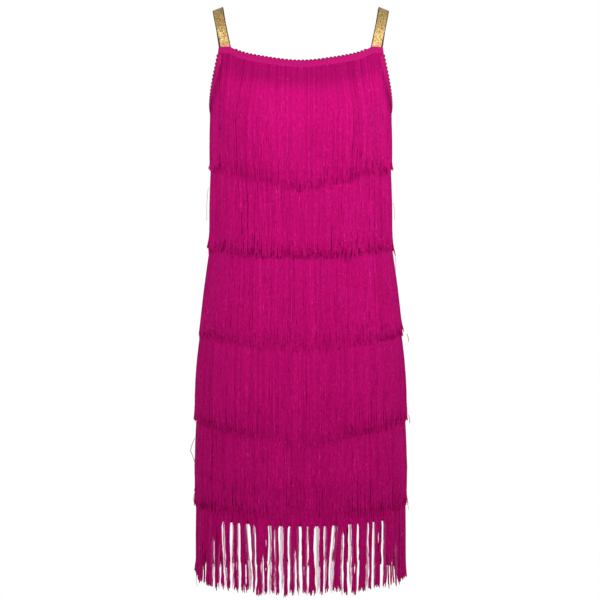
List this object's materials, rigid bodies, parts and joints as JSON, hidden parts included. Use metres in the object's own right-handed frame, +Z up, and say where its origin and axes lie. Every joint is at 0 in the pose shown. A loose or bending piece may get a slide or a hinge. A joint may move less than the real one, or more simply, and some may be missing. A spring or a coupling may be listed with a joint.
{
  "type": "flapper dress",
  "caption": "Sleeveless knee-length flapper dress: a hollow jersey shift covered in tiers of long magenta fringe, on gold shoulder straps.",
  "frame": {"origin": "midway between the crowns of the two straps, where they rest on the wearer's shoulders", "axes": "+Z up out of the neck; -Y is the front of the dress; +X is the wearer's left side"},
  "size_m": [0.3514, 0.2503, 0.9462],
  "materials": {
    "jersey": "soft stretch jersey",
    "picot_elastic": "knitted elastic with a picot edge",
    "gold_elastic": "glittering gold lurex",
    "chainette": "silky rayon chainette"
  },
  "bodies": {
    "root": {"body_front": "jersey", "body_back": "jersey", "neck_trim_front": "picot_elastic", "neck_trim_back": "picot_elastic", "armhole_trim_left": "picot_elastic", "armhole_trim_right": "picot_elastic", "strap_left": "gold_elastic", "strap_right": "gold_elastic", "fringe_neck_front": "chainette", "fringe_neck_back": "chainette", "fringe_tier_2": "chainette", "fringe_tier_3": "chainette", "fringe_tier_4": "chainette", "fringe_tier_5": "chainette", "fringe_tier_6": "chainette"}
  },
  "joints": []
}
